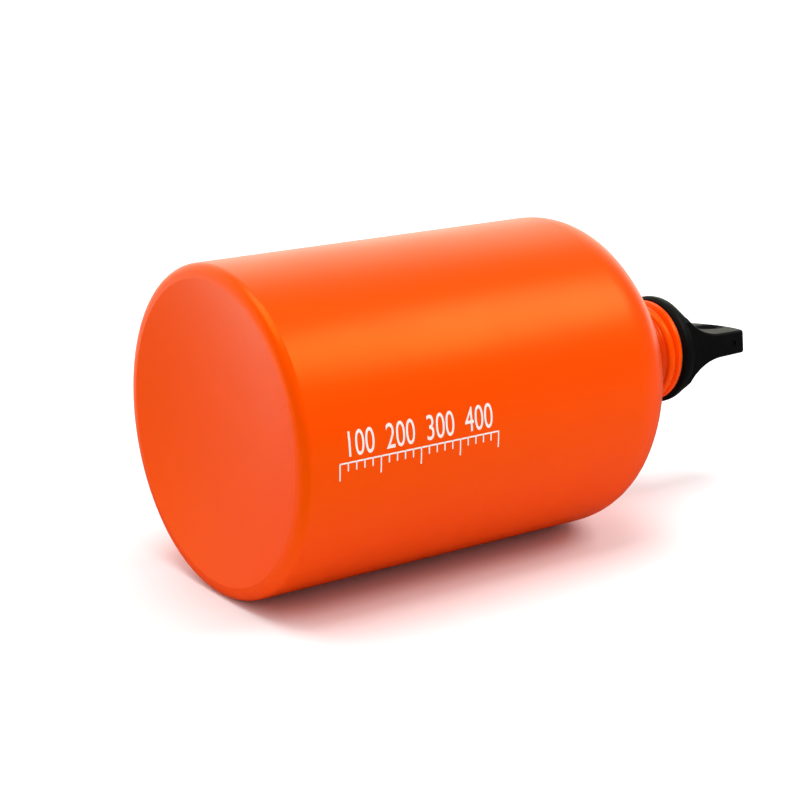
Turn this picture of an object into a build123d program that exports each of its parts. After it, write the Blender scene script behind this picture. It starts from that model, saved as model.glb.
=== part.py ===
from build123d import *

import os
from math import acos, atan2, cos, radians, sin, sqrt, tan

os.makedirs("parts", exist_ok=True)

# Camping fuel bottle, lying on its side: a one-piece aluminium bottle, a screw cap and its seal.
# Each piece is drawn standing up, its axis along +Z and the bottle's foot at zero height, and is
# laid down at the end: the cap then points along +X and the barrel rests on the ground plane.

# Bottle barrel and foot, in millimetres
body_radius = 49.4
body_wall = 1.1
foot_corner_radius = 3.0
foot_ring_width = 1.2
dish_depth = 7.0
dish_wall = 1.6

# Shoulder: a tight bend, a long shallow dome and a hollow curve up into the neck
bend_radius = 17.2
bend_angle = 40
dome_radius = 69.0
neck_curve_radius = 6.0

# Neck, rolled thread and open lip
bottle_height = 168.4
neck_height = 10.94
neck_bore_radius = 14.4
neck_wall = 0.9
lip_overhang = 1.4
lip_height = 1.6
lip_flare_height = 1.0
lip_edge_radius = 0.3
mouth_widening = 1.1
mouth_depth = 1.6
thread_pitch = 4.2
thread_groove_radius = 1.2
thread_inset = 0.15
ridge_wall = 0.85
ridge_turns = 3
ridge_top_drop = 2.75
groove_start_gap = 1.95
groove_top_drop = 1.0
ridge_top_angle = 340.8

# Seal ring between the lip and the cap
seal_plug_gap = 0.8
seal_lip_inset = 0.3
seal_thickness = 1.6
seal_clearance = 0.1

# Screw cap: hollow plug with its thread, flange and cone
flange_gap = 0.4
flange_overhang = 1.15
flange_height = 1.6
flange_under_bevel = 0.8
plug_gap = 0.4
plug_wall = 2.0
plug_length = 12.0
plug_bevel = 0.7
core_roof_height = 1.6
cap_thread_radius = 0.95
cap_thread_inset = 0.1
cap_thread_turns = 1.75
cap_thread_end_gap = 1.9
rim_curve_radius = 5.0

# Flat handle on the cone: hollow flanks, rounded tip, and an eye with thick rounded lips
handle_turn = -6.2
handle_side_gap = 3.25
handle_thickness = 7.6
handle_draft_angle = 1.3
handle_corner_rise = 28.0
handle_bulge = 2.8
handle_corner_radius = 1.6
handle_edge_radius = 0.9
flank_foot_gap = 1.25
eye_radius = 2.8
eye_lip_radius = 1.7
eye_tip_gap = 0.3
eye_cone_gap = 1.0
eye_waist_gap = 2.8
gate_mark_radius = 1.0
gate_mark_depth = 0.4
gate_mark_drop = 7.6

overrun = 5.0

# Heights and radii that follow from the values above
flange_under = bottle_height + flange_gap
flange_top = flange_under + flange_height
handle_corner_height = flange_top + handle_corner_rise
total_length = handle_corner_height + handle_bulge
eye_height = total_length - handle_edge_radius - eye_tip_gap - eye_lip_radius - eye_radius
eye_foot = eye_height - eye_radius - eye_lip_radius
waist_height = eye_foot - eye_waist_gap
cone_top = eye_foot - eye_cone_gap
neck_outer_radius = neck_bore_radius + neck_wall
lip_radius = neck_outer_radius + lip_overhang
mouth_radius = neck_bore_radius + mouth_widening
plug_radius = neck_bore_radius - plug_gap
flange_radius = lip_radius + flange_overhang
handle_width = 2 * (flange_radius - handle_side_gap)
flank_foot_radius = flange_radius - flank_foot_gap
seal_inner_radius = plug_radius + seal_plug_gap
seal_outer_radius = lip_radius - seal_lip_inset
thread_centre_radius = neck_bore_radius - thread_inset
ridge_radius = thread_groove_radius + ridge_wall
ridge_top = bottle_height - ridge_top_drop
ridge_foot = ridge_top - ridge_turns * thread_pitch
shoulder_turn = radians(bend_angle)
bend_centre = body_radius - bend_radius
dome_centre = bend_centre + (bend_radius - dome_radius) * cos(shoulder_turn)
dome_drop = (dome_radius - bend_radius) * sin(shoulder_turn)
neck_curve_reach = dome_radius + neck_curve_radius
neck_curve_side = neck_outer_radius + neck_curve_radius - dome_centre
shoulder_rise = sqrt(neck_curve_reach**2 - neck_curve_side**2) - dome_drop
straight_height = bottle_height - neck_height - shoulder_rise


def shell_half_outline(radius, corner, wall_offset, neck_radius, top):
    """Half outline of the bottle from the foot to the neck, drawn in the XZ plane."""
    bend = bend_radius - wall_offset
    dome = dome_radius - wall_offset
    curve = neck_curve_radius + wall_offset
    turn = shoulder_turn
    bend_mid = (bend_centre + bend * cos(turn / 2), straight_height + bend * sin(turn / 2))
    bend_end = (bend_centre + bend * cos(turn), straight_height + bend * sin(turn))
    dome_z = straight_height - dome_drop
    side = neck_radius + curve - dome_centre
    curve_z = dome_z + sqrt((dome + curve) ** 2 - side**2)
    reach = dome / (dome + curve)
    dome_end = (dome_centre + side * reach, dome_z + (curve_z - dome_z) * reach)
    foot_end = (radius, foot_corner_radius)
    bend_start = (radius, straight_height)
    neck_start = (neck_radius, curve_z)
    neck_end = (neck_radius, top)
    foot_start = (radius - corner, foot_corner_radius - corner)
    return [
        TangentArc([foot_start, foot_end], tangent=(1, 0)),
        Line(foot_end, bend_start),
        ThreePointArc(bend_start, bend_mid, bend_end),
        TangentArc([bend_end, dome_end], tangent=(-sin(turn), cos(turn))),
        TangentArc([neck_start, dome_end], tangent=(0, -1)),
        Line(neck_start, neck_end),
    ]


def dish_outline(ring_edge, height):
    """Flat ring and the hollow of the base, from the ring's outer edge to the axis."""
    ring_inner = body_radius - foot_corner_radius - foot_ring_width
    ring_line = Line(ring_edge, (ring_inner, height))
    hollow = TangentArc([(0, height + dish_depth), (ring_inner, height)], tangent=(1, 0))
    return [ring_line, hollow]


def turned(*edges):
    """Solid turned about the Z axis from a closed half outline in the XZ plane."""
    closed = Wire([edge for item in edges for edge in item.edges()])
    return revolve(Plane.XZ * make_face(closed), Axis.Z)


def ring(inner_radius, outer_radius, foot, height):
    """Plain ring with its lower face at the given height."""
    outer = Cylinder(outer_radius, height, align=(Align.CENTER, Align.CENTER, Align.MIN))
    inner = Cylinder(inner_radius, height, align=(Align.CENTER, Align.CENTER, Align.MIN))
    return Pos(0, 0, foot) * (outer - inner)


def thread_tube(centre_radius, section_radius, foot, top):
    """Round tube along the one thread helix that the bottle and the cap share."""
    helix = Helix(pitch=thread_pitch, height=top - foot, radius=centre_radius)
    section = Plane(origin=helix @ 0, z_dir=helix % 0) * Circle(section_radius)
    tube = sweep(section, path=helix, is_frenet=True)
    foot_angle = ridge_top_angle - (ridge_top - foot) / thread_pitch * 360
    return Pos(0, 0, foot) * Rot(0, 0, foot_angle) * tube


def tube_end(centre_radius, section_radius, height):
    """Ball that rounds the end of a thread tube at the given height."""
    angle = ridge_top_angle - (ridge_top - height) / thread_pitch * 360
    return Rot(0, 0, angle) * Pos(centre_radius, 0, height) * Sphere(section_radius)


def make_cavity():
    """The bottle's inside, from the floor above the dish up through the open mouth."""
    inner_radius = body_radius - body_wall
    inner_corner = foot_corner_radius - dish_wall
    inner_foot = (inner_radius - inner_corner, dish_wall)
    mouth_foot = bottle_height - mouth_depth
    mouth_cone_foot = mouth_foot - (mouth_radius - neck_bore_radius)
    return turned(
        *dish_outline(inner_foot, dish_wall),
        *shell_half_outline(inner_radius, inner_corner, body_wall, neck_bore_radius, mouth_cone_foot),
        Line((neck_bore_radius, mouth_cone_foot), (mouth_radius, mouth_foot)),
        Line((mouth_radius, mouth_foot), (mouth_radius, bottle_height + overrun)),
        Line((mouth_radius, bottle_height + overrun), (0, bottle_height + overrun)),
        Line((0, bottle_height + overrun), (0, dish_depth + dish_wall)),
    )


# Bottle: outer form with its rolled ridges, less the cavity, the thread groove and the mouth
def make_bottle():
    lip_foot = bottle_height - lip_height
    flare_foot = lip_foot - lip_flare_height
    outer_foot = (body_radius - foot_corner_radius, 0)
    outer = turned(
        *dish_outline(outer_foot, 0),
        *shell_half_outline(body_radius, foot_corner_radius, 0, neck_outer_radius, flare_foot),
        Line((neck_outer_radius, flare_foot), (lip_radius, lip_foot)),
        Line((lip_radius, lip_foot), (lip_radius, bottle_height)),
        Line((lip_radius, bottle_height), (0, bottle_height)),
        Line((0, bottle_height), (0, dish_depth)),
    )
    ridge = thread_tube(thread_centre_radius, ridge_radius, ridge_foot, ridge_top)
    ridge_end = tube_end(thread_centre_radius, ridge_radius, ridge_top)
    groove_foot = ridge_foot + groove_start_gap
    groove_top = bottle_height - groove_top_drop
    groove = thread_tube(thread_centre_radius, thread_groove_radius, groove_foot, groove_top)
    bottle = outer + ridge + ridge_end - make_cavity() - groove
    lip_edges = bottle.edges().filter_by(GeomType.CIRCLE).group_by(Axis.Z)[-1]
    return fillet(lip_edges, lip_edge_radius)


# Seal: flat rubber ring that lies on the lip and stands up into the flange
def make_seal():
    return ring(seal_inner_radius, seal_outer_radius, bottle_height, seal_thickness)


def rim_arc(turn):
    """The rim's convex curve from the top of the flange, turned inwards through an angle."""
    ends = [
        (flange_radius - rim_curve_radius * (1 - cos(part)), flange_top + rim_curve_radius * sin(part))
        for part in (0, turn / 2, turn)
    ]
    return ThreePointArc(*ends), ends[-1]


def cone_turn():
    """Angle through which the rim's curve turns before the straight cone leaves it for its top."""
    across = handle_thickness / 2 - (flange_radius - rim_curve_radius)
    up = cone_top - flange_top
    return atan2(up, across) - acos(rim_curve_radius / sqrt(across**2 + up**2))


# Cap: plug, flange and cone turned in one, with the handle and its eye on top
def make_cap():
    plug_foot = flange_under - plug_length
    roof = flange_under + core_roof_height
    core_radius = plug_radius - plug_wall
    cone_top_radius = handle_thickness / 2
    rim, rim_end = rim_arc(cone_turn())
    body = turned(
        Polyline(
            (flange_radius, flange_top),
            (flange_radius, flange_under + flange_under_bevel),
            (flange_radius - flange_under_bevel, flange_under),
            (plug_radius, flange_under),
            (plug_radius, plug_foot + plug_bevel),
            (plug_radius - plug_bevel, plug_foot),
            (core_radius, plug_foot),
            (core_radius, roof),
            (0, roof),
            (0, cone_top),
            (cone_top_radius, cone_top),
            rim_end,
        ),
        rim,
    )
    recess_height = seal_thickness - flange_gap
    recess = ring(
        seal_inner_radius - seal_clearance, seal_outer_radius + seal_clearance, flange_under, recess_height
    )
    thread_foot = plug_foot + cap_thread_end_gap
    thread_top = thread_foot + cap_thread_turns * thread_pitch
    centre = thread_centre_radius - cap_thread_inset
    thread = thread_tube(centre, cap_thread_radius, thread_foot, thread_top)
    low_end = tube_end(centre, cap_thread_radius, thread_foot)
    high_end = tube_end(centre, cap_thread_radius, thread_top)
    eye = Pos(0, 0, eye_height) * Rot(0, 90, 0) * Cylinder(eye_radius, handle_width)
    cap = body - recess + make_handle() - eye
    cap = fillet(cap.edges().filter_by(is_eye_edge), eye_lip_radius)
    cap = cap + thread + low_end + high_end
    return Rot(0, 0, handle_turn) * cap


def is_eye_edge(edge):
    """True for the curved rims of the eye: each of their points lies on the eye's bore."""
    off_bore = max(
        abs(sqrt(point.Y**2 + (point.Z - eye_height) ** 2) - eye_radius)
        for point in edge.positions([0, 1 / 4, 3 / 4, 1])
    )
    return edge.geom_type != GeomType.LINE and off_bore < eye_radius / 100


def is_handle_rim(edge):
    """True for the handle's outline on its two flat faces, found by place."""
    box = edge.bounding_box()
    above_flank = box.min.Z > waist_height - handle_edge_radius
    off_the_middle = abs(box.center().X) > handle_thickness / 4
    across = box.size.Y > handle_width - handle_corner_radius
    return above_flank and off_the_middle and not across


# Handle: side view with its hollow flanks crossed with the front view, kept within the rim
def make_handle():
    half = handle_thickness / 2
    wide = handle_width / 2
    draft = radians(handle_draft_angle)
    waist_half = half + (total_length - waist_height) * tan(draft)
    waist = (waist_half, waist_height)
    flank_foot = (flank_foot_radius, flange_top)
    side_face = make_face(
        Wire([
            TangentArc([waist, flank_foot], tangent=(sin(draft), -cos(draft))),
            Line(waist, (half, total_length)),
            Line((half, total_length), (0, total_length)),
            Line((0, total_length), (0, flange_top)),
            Line((0, flange_top), flank_foot),
        ])
    )
    side = extrude(Plane.XZ * side_face, amount=handle_width, both=True)
    side = side + mirror(side, Plane.YZ)
    front_wire = Wire([
        Line((-wide, flange_top), (wide, flange_top)),
        Line((wide, flange_top), (wide, handle_corner_height)),
        ThreePointArc((wide, handle_corner_height), (0, total_length), (-wide, handle_corner_height)),
        Line((-wide, handle_corner_height), (-wide, flange_top)),
    ])
    front_face = make_face(front_wire)
    corners = front_face.vertices().filter_by(lambda point: abs(point.Y - handle_corner_height) < half)
    front_face = fillet(corners, handle_corner_radius)
    front = extrude(Plane.YZ * front_face, amount=flange_radius * 2, both=True)
    limit_arc, limit_end = rim_arc(cone_turn() / 2)
    limit = turned(
        Polyline(
            limit_end,
            (limit_end[0], total_length),
            (0, total_length),
            (0, flange_top),
            (flange_radius, flange_top),
        ),
        limit_arc,
    )
    handle = side & front & limit
    handle = fillet(handle.edges().filter_by(is_handle_rim), handle_edge_radius)
    mark = Pos(0, -wide, total_length - gate_mark_drop) * Rot(90, 0, 0) * Cylinder(
        gate_mark_radius, gate_mark_depth * 2
    )
    return handle - mark


def laid_down(piece):
    """Turns a standing piece on its side and centres the whole bottle over the origin."""
    return Pos(-total_length / 2, 0, body_radius) * Rot(0, 90, 0) * piece


pieces = {
    "bottle_shell": make_bottle(),
    "cap_seal": make_seal(),
    "screw_cap": make_cap(),
}

for name, piece in pieces.items():
    laid = laid_down(piece)
    export_step(laid, f"parts/{name}.step")
    print(name, "solids", len(laid.solids()), "valid", laid.is_valid, "volume", round(laid.volume))

up_to_lip = Cylinder(body_radius, bottle_height, align=(Align.CENTER, Align.CENTER, Align.MIN))
brimful = make_cavity() & up_to_lip
print("brimful volume in ml", round(brimful.volume / 1000))
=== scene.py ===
from math import radians

import bpy
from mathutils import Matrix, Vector


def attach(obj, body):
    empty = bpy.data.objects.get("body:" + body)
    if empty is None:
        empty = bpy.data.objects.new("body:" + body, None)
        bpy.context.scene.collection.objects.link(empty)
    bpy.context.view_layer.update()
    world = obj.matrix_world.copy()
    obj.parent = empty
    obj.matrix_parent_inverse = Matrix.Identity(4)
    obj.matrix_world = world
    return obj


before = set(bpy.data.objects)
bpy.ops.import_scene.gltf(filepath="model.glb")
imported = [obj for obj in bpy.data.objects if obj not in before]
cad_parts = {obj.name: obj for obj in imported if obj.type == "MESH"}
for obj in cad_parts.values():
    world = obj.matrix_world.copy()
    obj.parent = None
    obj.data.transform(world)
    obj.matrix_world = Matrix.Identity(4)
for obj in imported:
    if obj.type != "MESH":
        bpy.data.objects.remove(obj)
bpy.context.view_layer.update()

# Bottle shell: foot, barrel, shoulder, threaded neck and lip are one piece of aluminium, formed
# from a slug in a press. The outside is sprayed with orange lacquer and baked to a satin gloss,
# and the inside is left as bare metal with fine rings from the forming.
barrel_radius = 0.0494
barrel_middle = -0.03
neck_foot = 0.0522
lacquer_light = (1.0, 0.072, 0.0, 1)
lacquer_deep = (0.98, 0.067, 0.0, 1)
lacquer_shine = (1.0, 1.0, 0.02, 1)
lacquer_shine_level = 0.25
lacquer_roughness = (0.29, 0.34)
lacquer_grain = {"Bumps per metre": 900, "Patches per metre": 28}
lacquer_bump = {"Strength": 0.12, "Distance": 0.00012}
# Painted shade: a deep red painted into the lacquer at the neck's root and in the thread grooves,
# where shade falls.
lacquer_painted_shade = (0.60, 0.020, 0.001, 1)
painted_shade_from = 0.0492
neck_reach = {"From Min": 0.0190, "From Max": 0.0168}
neck_root = {"From Min": 0.0632, "From Max": 0.0612, "To Max": 0.8}
thread_grooves = {"From Min": 0.0162, "From Max": 0.0154, "To Max": 0.7}
dish_radius = 0.145
dish_wall = -0.0930
dish_centre = {"From Min": 0.0054, "From Max": 0.0047}
inside_facing = -0.02
bare_metal_colour = (0.78, 0.77, 0.76, 1)
bare_metal_roughness = (0.26, 0.42)
ring_stretch = (1, 0.02, 0.02)
ring_noise = {"Scale": 1800, "Detail": 3}
bump_noise = {"Detail": 2.5, "Roughness": 0.55}
patch_noise = {"Detail": 3.0, "Roughness": 0.6}
patch_range = {"From Min": 0.3, "From Max": 0.7}
mix_sockets = {"FLOAT": (2, 3, 0), "VECTOR": (4, 5, 1), "RGBA": (6, 7, 2)}


def add_node(tree, kind, settings, inputs):
    """Put a node in a tree, set it up, and give each named or numbered input a value or a link."""
    node = tree.nodes.new(kind)
    for name, value in settings.items():
        setattr(node, name, value)
    for key, value in inputs.items():
        if isinstance(value, bpy.types.NodeSocket):
            tree.links.new(value, node.inputs[key])
        else:
            node.inputs[key].default_value = value
    return node


def work_out(tree, operation, first, second):
    """One sum on two numbers or sockets."""
    node = add_node(tree, "ShaderNodeMath", {"operation": operation}, {0: first, 1: second})
    return node.outputs["Value"]


def length_of(tree, vector):
    """How long a vector is."""
    node = add_node(tree, "ShaderNodeVectorMath", {"operation": "LENGTH"}, {0: vector})
    return node.outputs["Value"]


def split(tree, vector):
    """The X, Y and Z of a vector."""
    return add_node(tree, "ShaderNodeSeparateXYZ", {}, {"Vector": vector}).outputs


def shift(tree, vector, step, stretch=(1, 1, 1)):
    """A vector that is stretched along each axis and then moved by a step."""
    inputs = {"Vector": vector, "Location": step, "Scale": stretch}
    return add_node(tree, "ShaderNodeMapping", {}, inputs).outputs["Vector"]


def between(tree, share, low, high):
    """A number from low to high by a share from 0 to 1. Low and high may be sockets too."""
    node = add_node(tree, "ShaderNodeMapRange", {}, {"Value": share, "To Min": low, "To Max": high})
    return node.outputs["Result"]


def fade(tree, value, limits):
    """A soft step, from 0 to 1 unless the limits say otherwise, as a value passes between them."""
    step = {"interpolation_type": "SMOOTHSTEP"}
    node = add_node(tree, "ShaderNodeMapRange", step, {"Value": value, **limits})
    return node.outputs["Result"]


def blend(tree, share, first, second, kind="RGBA"):
    """A colour, vector or number between two others by a share from 0 to 1."""
    start, end, result = mix_sockets[kind]
    inputs = {0: share, start: first, end: second}
    return add_node(tree, "ShaderNodeMix", {"data_type": kind}, inputs).outputs[result]


def make_grain():
    """Fine bumps and broad cloudy patches, as sprayed lacquer and moulded surfaces have."""
    group = bpy.data.node_groups.new("surface grain", "ShaderNodeTree")
    for label in ("Bumps per metre", "Patches per metre"):
        group.interface.new_socket(label, in_out="INPUT", socket_type="NodeSocketFloat")
    for label in ("Height", "Patches"):
        group.interface.new_socket(label, in_out="OUTPUT", socket_type="NodeSocketFloat")
    given = group.nodes.new("NodeGroupInput").outputs
    made = group.nodes.new("NodeGroupOutput").inputs
    place = group.nodes.new("ShaderNodeTexCoord").outputs["Object"]
    fine = {"Vector": place, "Scale": given["Bumps per metre"], **bump_noise}
    broad = {"Vector": place, "Scale": given["Patches per metre"], **patch_noise}
    bumps = add_node(group, "ShaderNodeTexNoise", {}, fine).outputs["Fac"]
    clouds = add_node(group, "ShaderNodeTexNoise", {}, broad).outputs["Fac"]
    patches = add_node(group, "ShaderNodeMapRange", {}, {"Value": clouds, **patch_range})
    group.links.new(bumps, made["Height"])
    group.links.new(patches.outputs["Result"], made["Patches"])
    return group


def place_grain(tree, scales):
    """The grain's height and patches in a material, at that material's own scales."""
    node = add_node(tree, "ShaderNodeGroup", {"node_tree": surface_grain}, scales)
    return node.outputs["Height"], node.outputs["Patches"]


def new_finish(name):
    """A named material and its shader."""
    finish = bpy.data.materials.new(name)
    finish.use_nodes = True
    return finish, finish.node_tree, finish.node_tree.nodes["Principled BSDF"]


def dress(tree, shader, colour, roughness, bump):
    """Give a shader its colour, its roughness and its bump, which holds a height."""
    tree.links.new(colour, shader.inputs["Base Color"])
    tree.links.new(roughness, shader.inputs["Roughness"])
    raised = add_node(tree, "ShaderNodeBump", {}, bump)
    tree.links.new(raised.outputs["Normal"], shader.inputs["Normal"])


def find_inside(tree, parts, normal):
    """1 where a face looks towards the bottle's middle, or in the neck towards its axis."""
    below_neck = work_out(tree, "LESS_THAN", parts["X"], neck_foot)
    from_middle = work_out(tree, "SUBTRACT", parts["X"], barrel_middle)
    along = work_out(tree, "MULTIPLY", from_middle, below_neck)
    reach = {"X": along, "Y": parts["Y"], "Z": parts["Z"]}
    outward = add_node(tree, "ShaderNodeCombineXYZ", {}, reach).outputs["Vector"]
    unit = add_node(tree, "ShaderNodeVectorMath", {"operation": "NORMALIZE"}, {0: outward})
    sides = {0: unit.outputs["Vector"], 1: normal}
    facing = add_node(tree, "ShaderNodeVectorMath", {"operation": "DOT_PRODUCT"}, sides)
    return work_out(tree, "LESS_THAN", facing.outputs["Value"], inside_facing)


def find_painted_shade(tree, along, radius):
    """How much shade is painted into the lacquer as a deep red, at the neck's root and in the
    grooves of its thread.
    """
    above_shoulder = work_out(tree, "GREATER_THAN", along, painted_shade_from)
    on_neck = work_out(tree, "MULTIPLY", fade(tree, radius, neck_reach), above_shoulder)
    grooves = fade(tree, radius, thread_grooves)
    hollows = work_out(tree, "MAXIMUM", fade(tree, along, neck_root), grooves)
    return work_out(tree, "MULTIPLY", on_neck, hollows)


def smooth_dish(tree, along, across, radius):
    """The mesh's normal, but the curve's own at the dish's centre, where the mesh has a point."""
    outer_face = work_out(tree, "LESS_THAN", along, dish_wall)
    in_centre = work_out(tree, "MULTIPLY", fade(tree, radius, dish_centre), outer_face)
    lean = -1 / dish_radius
    curved = {"Vector": shift(tree, across, (-1, 0, 0), (0, lean, lean))}
    to_world = {"vector_type": "NORMAL", "convert_from": "OBJECT", "convert_to": "WORLD"}
    smooth = add_node(tree, "ShaderNodeVectorTransform", to_world, curved).outputs["Vector"]
    meshed = tree.nodes.new("ShaderNodeNewGeometry").outputs["Normal"]
    return blend(tree, in_centre, meshed, smooth, "VECTOR")


def make_lacquer():
    """Orange lacquer outside, bare metal inside."""
    finish, tree, shader = new_finish("orange lacquer on aluminium")
    coords = tree.nodes.new("ShaderNodeTexCoord").outputs
    centred = shift(tree, coords["Object"], (0, 0, -barrel_radius))
    parts = split(tree, centred)
    flat = {"Y": parts["Y"], "Z": parts["Z"]}
    across = add_node(tree, "ShaderNodeCombineXYZ", {}, flat).outputs["Vector"]
    radius = length_of(tree, across)
    bare = find_inside(tree, parts, coords["Normal"])
    painted_shade = find_painted_shade(tree, parts["X"], radius)

    height, patches = place_grain(tree, lacquer_grain)
    ring_place = {"Vector": shift(tree, centred, (0, 0, 0), ring_stretch)}
    rings = add_node(tree, "ShaderNodeTexNoise", {}, {**ring_place, **ring_noise}).outputs["Fac"]
    sprayed = blend(tree, patches, lacquer_light, lacquer_deep)
    # Painted shade: the deep red at the neck's root and in the thread grooves stands in for shade.
    lacquer = blend(tree, painted_shade, sprayed, lacquer_painted_shade)
    colour = blend(tree, bare, lacquer, bare_metal_colour)
    lacquer_gloss = between(tree, patches, *lacquer_roughness)
    metal_gloss = between(tree, rings, *bare_metal_roughness)
    gloss = blend(tree, bare, lacquer_gloss, metal_gloss, "FLOAT")
    relief = blend(tree, bare, height, rings, "FLOAT")
    surface = smooth_dish(tree, parts["X"], across, radius)
    dress(tree, shader, colour, gloss, {"Height": relief, "Normal": surface, **lacquer_bump})
    tree.links.new(bare, shader.inputs["Metallic"])
    shader.inputs["Specular Tint"].default_value = lacquer_shine
    shader.inputs["Specular IOR Level"].default_value = lacquer_shine_level
    return finish


surface_grain = make_grain()
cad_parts["bottle_shell"].material_slots[0].material = make_lacquer()

# Fill scale: white ink, screen printed straight onto the baked lacquer on the side of the barrel.
# A thin line carries a tick for each fifth of a step, and a plain number stands over each step.
scale_steps = ["100", "200", "300", "400"]
scale_start = -0.0821
scale_step = 0.01364
scale_splits = 5
scale_line_height = 0.0512
scale_line_width = 0.00045
long_tick = 0.0050
short_tick = 0.0026
tick_width = 0.00042
number_size = 0.0102
number_width_share = 0.66
number_foot = 0.0526
upright = (radians(90), 0, 0)
ink_thickness = 0.00004
ink_bend_step = 0.0008
ink_colour = (0.97, 0.92, 0.87, 1)
ink_worn = (0.86, 0.80, 0.76, 1)
ink_wear = 0.25
ink_roughness = (0.35, 0.5)
ink_grain = {"Bumps per metre": 2600, "Patches per metre": 300}
ink_bump = {"Strength": 0.2, "Distance": 0.00002}


def deselect_all():
    """Nothing selected, so that the next operator acts on the new piece alone."""
    for other in bpy.context.selected_objects:
        other.select_set(False)


def add_bar(x, top, width, height):
    """A flat printed bar on the upright plane beside the barrel."""
    place = (x, -barrel_radius, top - height / 2)
    bpy.ops.mesh.primitive_plane_add(size=1, location=place, rotation=upright)
    bar = bpy.context.object
    bar.scale = (width, height, 1)
    return bar


def add_number(text, x):
    """A flat printed number on the same plane."""
    bpy.ops.object.text_add(location=(x, -barrel_radius, number_foot), rotation=upright)
    number = bpy.context.object
    number.data.body = text
    number.data.size = number_size
    number.data.align_x = "CENTER"
    number.scale = (number_width_share, 1, 1)
    bpy.ops.object.convert(target="MESH")
    return number


deselect_all()
scale_edge = scale_start - scale_step / 2
line_length = scale_step * len(scale_steps)
line_middle = scale_edge + line_length / 2
marks = [add_bar(line_middle, scale_line_height, line_length + tick_width, scale_line_width)]
for count in range(len(scale_steps) * scale_splits + 1):
    tick_x = scale_edge + count * scale_step / scale_splits
    tick_length = short_tick if count % scale_splits else long_tick
    marks.append(add_bar(tick_x, scale_line_height, tick_width, tick_length))
for count, text in enumerate(scale_steps):
    marks.append(add_number(text, scale_start + count * scale_step))
for mark in marks:
    mark.select_set(True)
bpy.context.view_layer.objects.active = marks[0]
bpy.ops.object.join()
fill_scale = bpy.context.object
fill_scale.name = "fill_scale"
bpy.ops.object.transform_apply(location=True, rotation=True, scale=True)

bpy.ops.object.mode_set(mode="EDIT")
cut_height = scale_line_height - long_tick
while cut_height < number_foot + number_size:
    bpy.ops.mesh.select_all(action="SELECT")
    bpy.ops.mesh.bisect(plane_co=(0, 0, cut_height), plane_no=(0, 0, 1))
    cut_height += ink_bend_step
bpy.ops.mesh.select_all(action="SELECT")
bpy.ops.mesh.quads_convert_to_tris()
bpy.ops.object.mode_set(mode="OBJECT")

wrap = fill_scale.modifiers.new("wrap", "SHRINKWRAP")
wrap.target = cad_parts["bottle_shell"]
wrap.wrap_method = "PROJECT"
wrap.use_project_y = True
wrap.use_negative_direction = True
wrap.offset = ink_thickness / 2
bpy.ops.object.modifier_apply(modifier="wrap")
film = fill_scale.modifiers.new("film", "SOLIDIFY")
film.thickness = ink_thickness
film.offset = 1
bpy.ops.object.modifier_apply(modifier="film")


def make_ink():
    """White printing ink with a slightly uneven film."""
    finish, tree, shader = new_finish("white printing ink")
    height, patches = place_grain(tree, ink_grain)
    colour = blend(tree, work_out(tree, "MULTIPLY", patches, ink_wear), ink_colour, ink_worn)
    gloss = between(tree, height, *ink_roughness)
    dress(tree, shader, colour, gloss, {"Height": height, **ink_bump})
    return finish


fill_scale.data.materials.append(make_ink())
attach(fill_scale, "bottle")

# Seal ring: a flat washer of black fuel-proof rubber, cut from sheet. It lies loose under the
# cap's flange, and the cap presses it onto the rolled lip.
rubber_colour = (0.022, 0.022, 0.023, 1)
rubber_dusty = (0.05, 0.049, 0.047, 1)
rubber_roughness = (0.6, 0.82)
rubber_grain = {"Bumps per metre": 3200, "Patches per metre": 220}
rubber_bump = {"Strength": 0.35, "Distance": 0.00005}


def make_rubber():
    """Matt rubber with a fine tooth and a dusty bloom."""
    finish, tree, shader = new_finish("black seal rubber")
    height, patches = place_grain(tree, rubber_grain)
    colour = blend(tree, patches, rubber_colour, rubber_dusty)
    gloss = between(tree, height, *rubber_roughness)
    dress(tree, shader, colour, gloss, {"Height": height, **rubber_bump})
    return finish


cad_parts["cap_seal"].material_slots[0].material = make_rubber()

# Screw cap: plug, thread, flange, cone and flat handle with its eye are one moulding of black
# nylon. The steel mould leaves a very fine tooth, and fingers polish it a little in patches,
# but not inside the eye.
nylon_colour = (0.0020, 0.0021, 0.0024, 1)
nylon_rubbed = (0.0040, 0.0041, 0.0045, 1)
nylon_shine_level = 0.10
nylon_roughness = (0.56, 0.48)
nylon_grain = {"Bumps per metre": 4200, "Patches per metre": 120}
nylon_bump = {"Strength": 0.3, "Distance": 0.00004}
eye_along = 0.0949
eye_edge = {"From Min": 0.0060, "From Max": 0.0045}
eye_roughness = 0.95


def make_nylon():
    """Satin black nylon with a fine moulded tooth, matt in the eye."""
    finish, tree, shader = new_finish("satin black nylon")
    height, patches = place_grain(tree, nylon_grain)
    colour = blend(tree, patches, nylon_colour, nylon_rubbed)
    place = tree.nodes.new("ShaderNodeTexCoord").outputs["Object"]
    from_eye = length_of(tree, shift(tree, place, (-eye_along, 0, 0), (1, 1, 0)))
    outer_gloss = between(tree, patches, *nylon_roughness)
    gloss = between(tree, fade(tree, from_eye, eye_edge), outer_gloss, eye_roughness)
    dress(tree, shader, colour, gloss, {"Height": height, **nylon_bump})
    shader.inputs["Specular IOR Level"].default_value = nylon_shine_level
    return finish


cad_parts["screw_cap"].material_slots[0].material = make_nylon()

# Table: a plain white sheet, wide enough to fill the picture. It keeps the bottle's soft shadow
# and the orange that the lacquer throws onto it, and stays white to the camera far away.
table_size = 8
table_white = (0.86, 0.86, 0.86, 1)
table_front_mirrored = (0.12, 0.12, 0.11, 1)
table_rear_mirrored = (1.30, 1.30, 1.12, 1)
table_near_seen = (1.0, 1.0, 1.0, 1)
table_far_seen = (2.4, 2.4, 2.4, 1)
table_rear = {"From Min": 0.09, "From Max": 0.27}
table_far = {"From Min": 0.14, "From Max": 1.6}
table_roughness = 0.9
table_shine_level = 0.1


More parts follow.
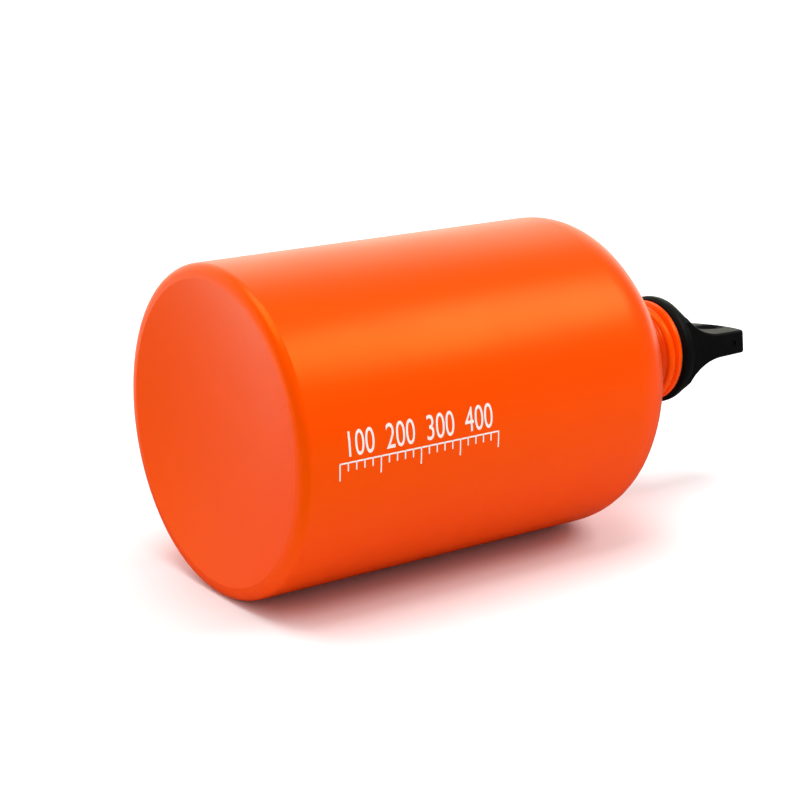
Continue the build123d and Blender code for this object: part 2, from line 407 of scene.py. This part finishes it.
def make_table_white():
    """White sheet, which the lacquer mirrors brighter from behind the bottle than from in front."""
    finish, tree, shader = new_finish("white table sheet")
    place = tree.nodes.new("ShaderNodeTexCoord").outputs["Object"]
    rays = tree.nodes.new("ShaderNodeLightPath").outputs
    rear = fade(tree, split(tree, place)["Y"], table_rear)
    mirrored = blend(tree, rear, table_front_mirrored, table_rear_mirrored)
    lit = blend(tree, rays["Is Glossy Ray"], table_white, mirrored)
    far = fade(tree, length_of(tree, place), table_far)
    seen = blend(tree, far, table_near_seen, table_far_seen)
    colour = blend(tree, rays["Is Camera Ray"], lit, seen)
    tree.links.new(colour, shader.inputs["Base Color"])
    shader.inputs["Roughness"].default_value = table_roughness
    shader.inputs["Specular IOR Level"].default_value = table_shine_level
    return finish


deselect_all()
bpy.ops.mesh.primitive_plane_add(size=table_size, location=(0, 0, 0))
table = bpy.context.object
table.name = "table"
table.data.materials.append(make_table_white())

# Light tent: a bright wall behind, which draws the glow along the top of the barrel, and a weaker
# glow all round, with a soft box overhead and one at the right for the streak along the side.
tent_front = 0.41
tent_front_mirrored = 0.03
tent_rear = 1.41
tent_seen = 1.0
tent_colour = (1, 1, 1, 1)
tent_mirrored_colour = (1.20, 1.20, 1.02, 1)
rear_wall_side = {"From Min": 0.1, "From Max": 0.5}
rear_wall_top = {"From Min": 0.85, "From Max": 0.6}
soft_box_aim = (0, 0, 0.05)
soft_boxes = {
    "top_box": {"place": (-0.15, 0, 1.3), "size": 0.9, "power": 11.7},
    "side_box": {"place": (0.55, -0.42, 0.77), "size": 0.45, "power": 4.1},
}


def turn_towards(thing, direction):
    """Turn a lamp or the camera to look in a direction, its top side up."""
    thing.rotation_euler = Vector(direction).to_track_quat("-Z", "Y").to_euler()


tent = bpy.data.worlds.new("light tent")
tent.use_nodes = True
glow = tent.node_tree
tent_light = glow.nodes["Background"].inputs
tent_rays = glow.nodes.new("ShaderNodeLightPath").outputs
toward = split(glow, glow.nodes.new("ShaderNodeTexCoord").outputs["Generated"])
wall_side = fade(glow, toward["Y"], rear_wall_side)
wall_top = fade(glow, toward["Z"], rear_wall_top)
rear_wall = work_out(glow, "MULTIPLY", wall_side, wall_top)
tent_near = between(glow, tent_rays["Is Glossy Ray"], tent_front, tent_front_mirrored)
tent_lit = between(glow, rear_wall, tent_near, tent_rear)
tent_strength = between(glow, tent_rays["Is Camera Ray"], tent_lit, tent_seen)
tent_tone = blend(glow, tent_rays["Is Glossy Ray"], tent_colour, tent_mirrored_colour)
glow.links.new(tent_strength, tent_light["Strength"])
glow.links.new(tent_tone, tent_light["Color"])
bpy.context.scene.world = tent

for name, box in soft_boxes.items():
    bpy.ops.object.light_add(type="AREA", location=box["place"])
    lamp = bpy.context.object
    lamp.name = name
    lamp.data.size = box["size"]
    lamp.data.energy = box["power"]
    turn_towards(lamp, Vector(soft_box_aim) - Vector(box["place"]))

# Camera: stands in front of the foot, to the left of the barrel and a little above it, as in the
# photograph, with a long lens.
camera_place = (-0.37380, -0.47962, 0.21625)
camera_direction = (0.55599, 0.78467, -0.27418)
camera_lens = 89.82
camera_sensor = 36

bpy.ops.object.camera_add(location=camera_place)
camera = bpy.context.object
turn_towards(camera, camera_direction)
camera.data.sensor_width = camera_sensor
camera.data.lens = camera_lens
bpy.context.scene.camera = camera
bpy.context.scene.view_settings.view_transform = "Standard"
